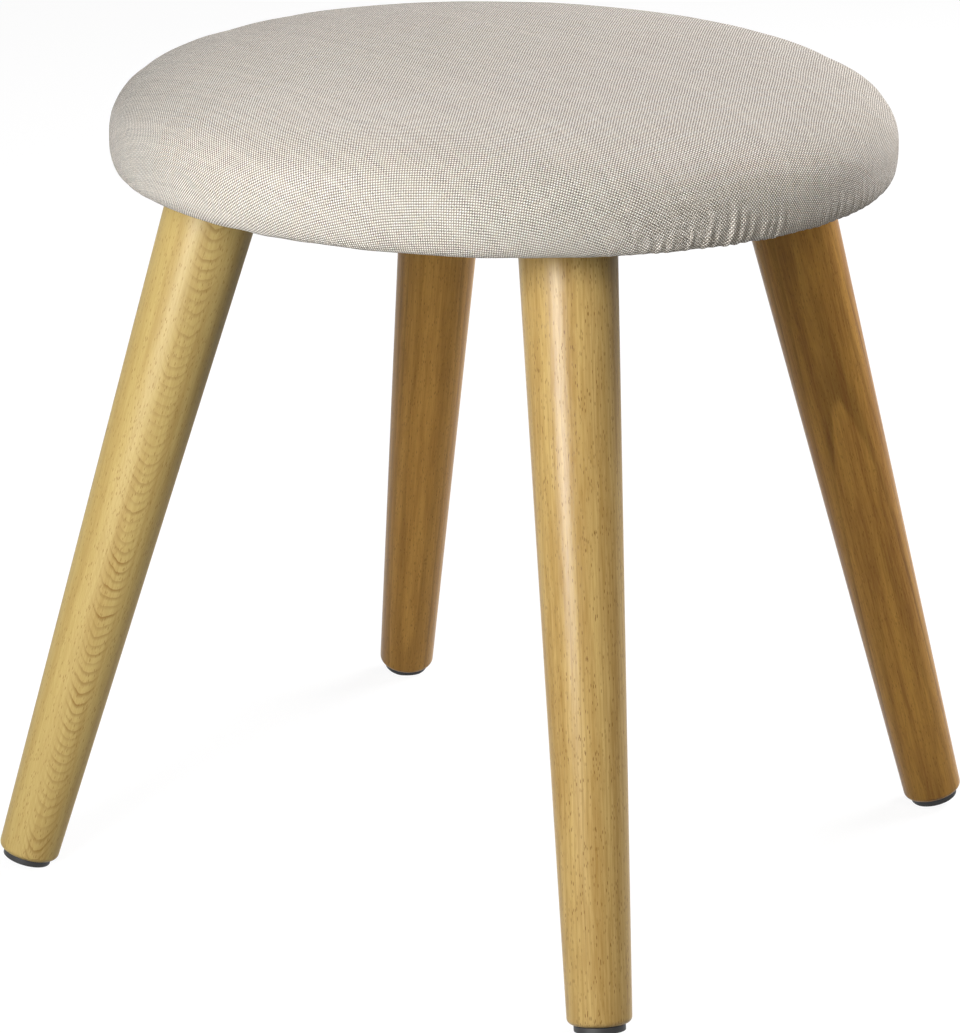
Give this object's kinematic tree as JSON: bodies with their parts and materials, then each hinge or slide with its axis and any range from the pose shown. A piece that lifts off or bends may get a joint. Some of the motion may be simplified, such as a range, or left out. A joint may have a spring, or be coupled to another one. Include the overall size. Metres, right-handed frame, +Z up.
{
  "type": "vanity stool",
  "caption": "Round upholstered stool with a crowned, linen-look seat on splayed, tapered wooden legs with black glides.",
  "frame": {"origin": "on the floor, under the middle of the round seat", "axes": "+Z up, -Y to the front, +X to the right as seen from the front; the legs stand on the diagonals"},
  "size_m": [0.37, 0.37, 0.402],
  "materials": {
    "seat_fabric": "matte",
    "seat_foam": "matte",
    "plywood": "matte",
    "dust_cloth": "matte",
    "beech": "satin",
    "zinc_steel": "satin",
    "glide_plastic": "matte"
  },
  "bodies": {
    "root": {"seat_cover": "seat_fabric", "foam_pad": "seat_foam", "seat_board": "plywood", "dust_cover": "dust_cloth", "leg_plate_front_left": "zinc_steel", "leg_plate_front_right": "zinc_steel", "leg_plate_rear_right": "zinc_steel", "leg_plate_rear_left": "zinc_steel", "plate_screw_front_left_1": "zinc_steel", "plate_screw_front_left_2": "zinc_steel", "plate_screw_front_left_3": "zinc_steel", "plate_screw_front_left_4": "zinc_steel", "plate_screw_front_right_1": "zinc_steel", "plate_screw_front_right_2": "zinc_steel", "plate_screw_front_right_3": "zinc_steel", "plate_screw_front_right_4": "zinc_steel", "plate_screw_rear_right_1": "zinc_steel", "plate_screw_rear_right_2": "zinc_steel", "plate_screw_rear_right_3": "zinc_steel", "plate_screw_rear_right_4": "zinc_steel", "plate_screw_rear_left_1": "zinc_steel", "plate_screw_rear_left_2": "zinc_steel", "plate_screw_rear_left_3": "zinc_steel", "plate_screw_rear_left_4": "zinc_steel", "plate_nut_front_left": "zinc_steel", "plate_nut_front_right": "zinc_steel", "plate_nut_rear_right": "zinc_steel", "plate_nut_rear_left": "zinc_steel", "hanger_bolt_front_left": "zinc_steel", "hanger_bolt_front_right": "zinc_steel", "hanger_bolt_rear_right": "zinc_steel", "hanger_bolt_rear_left": "zinc_steel", "leg_front_left": "beech", "leg_front_right": "beech", "leg_rear_right": "beech", "leg_rear_left": "beech", "glide_front_left": "glide_plastic", "glide_front_right": "glide_plastic", "glide_rear_right": "glide_plastic", "glide_rear_left": "glide_plastic", "glide_nail_front_left": "zinc_steel", "glide_nail_front_right": "zinc_steel", "glide_nail_rear_right": "zinc_steel", "glide_nail_rear_left": "zinc_steel", "dust_cover_staple_01": "zinc_steel", "dust_cover_staple_02": "zinc_steel", "dust_cover_staple_03": "zinc_steel", "dust_cover_staple_04": "zinc_steel", "dust_cover_staple_05": "zinc_steel", "dust_cover_staple_06": "zinc_steel", "dust_cover_staple_07": "zinc_steel", "dust_cover_staple_08": "zinc_steel", "dust_cover_staple_09": "zinc_steel", "dust_cover_staple_10": "zinc_steel", "dust_cover_staple_11": "zinc_steel", "dust_cover_staple_12": "zinc_steel", "dust_cover_staple_13": "zinc_steel", "dust_cover_staple_14": "zinc_steel", "dust_cover_staple_15": "zinc_steel", "dust_cover_staple_16": "zinc_steel"}
  },
  "joints": []
}
